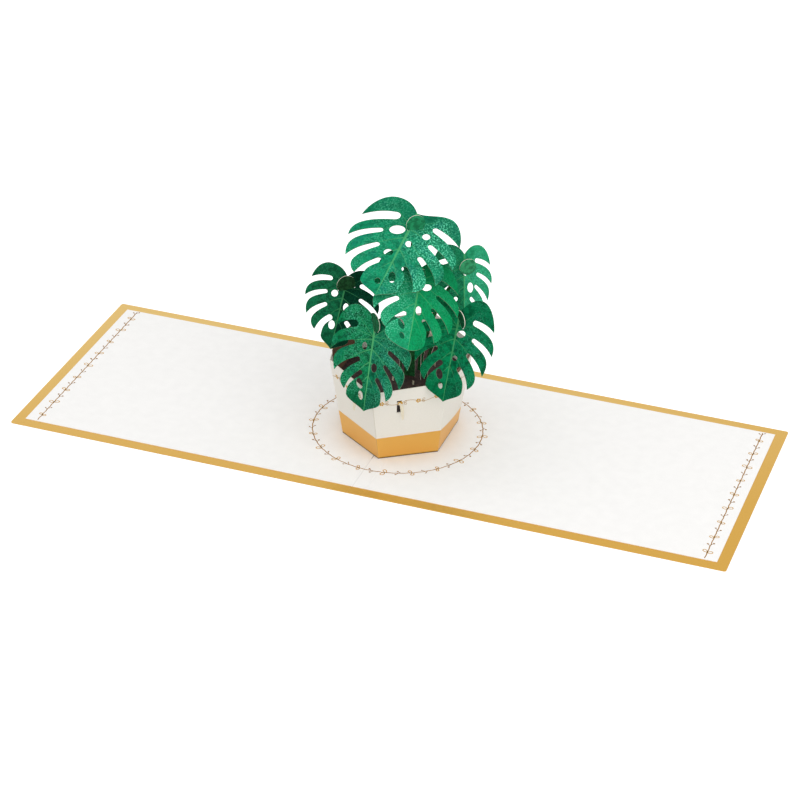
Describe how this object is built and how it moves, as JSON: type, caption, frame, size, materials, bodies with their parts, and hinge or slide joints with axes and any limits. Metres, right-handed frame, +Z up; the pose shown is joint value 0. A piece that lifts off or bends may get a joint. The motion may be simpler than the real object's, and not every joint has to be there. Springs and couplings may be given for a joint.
{
  "type": "greeting card",
  "caption": "Pop-up greeting card lying open: a potted Monstera plant of folded card stands on a white inside sheet framed by gold foil",
  "frame": {"origin": "middle of the card's underside, where the fold crosses the middle of its depth", "axes": "+X along the open card's long side, +Y to its back, +Z up from the underside"},
  "size_m": [0.366, 0.134, 0.1186],
  "materials": {
    "gold_foil_card": "satin gold foil",
    "white_card": "matte with thin gold print",
    "pot_card": "matte white with a gold band and a printed vine",
    "soil_card": "matte mottled dark print",
    "cream_card": "matte uncoated",
    "stem_card": "matte print",
    "leaf_card": "satin print with fine sparkle"
  },
  "bodies": {
    "root": {"cover": "gold_foil_card", "liner": "white_card", "pot_wall": "pot_card", "soil_tray": "soil_card", "hook_strip_front": "cream_card", "hook_strip_back": "cream_card", "cross_rib_front": "cream_card", "cross_rib_back": "cream_card", "stem_left": "stem_card", "stem_top": "stem_card", "stem_upper_right": "stem_card", "stem_front_left": "stem_card", "stem_front_right": "stem_card", "stem_centre": "stem_card", "leaf_left": "leaf_card", "leaf_top": "leaf_card", "leaf_upper_right": "leaf_card", "leaf_front_left": "leaf_card", "leaf_front_right": "leaf_card", "leaf_centre": "leaf_card"}
  },
  "joints": []
}
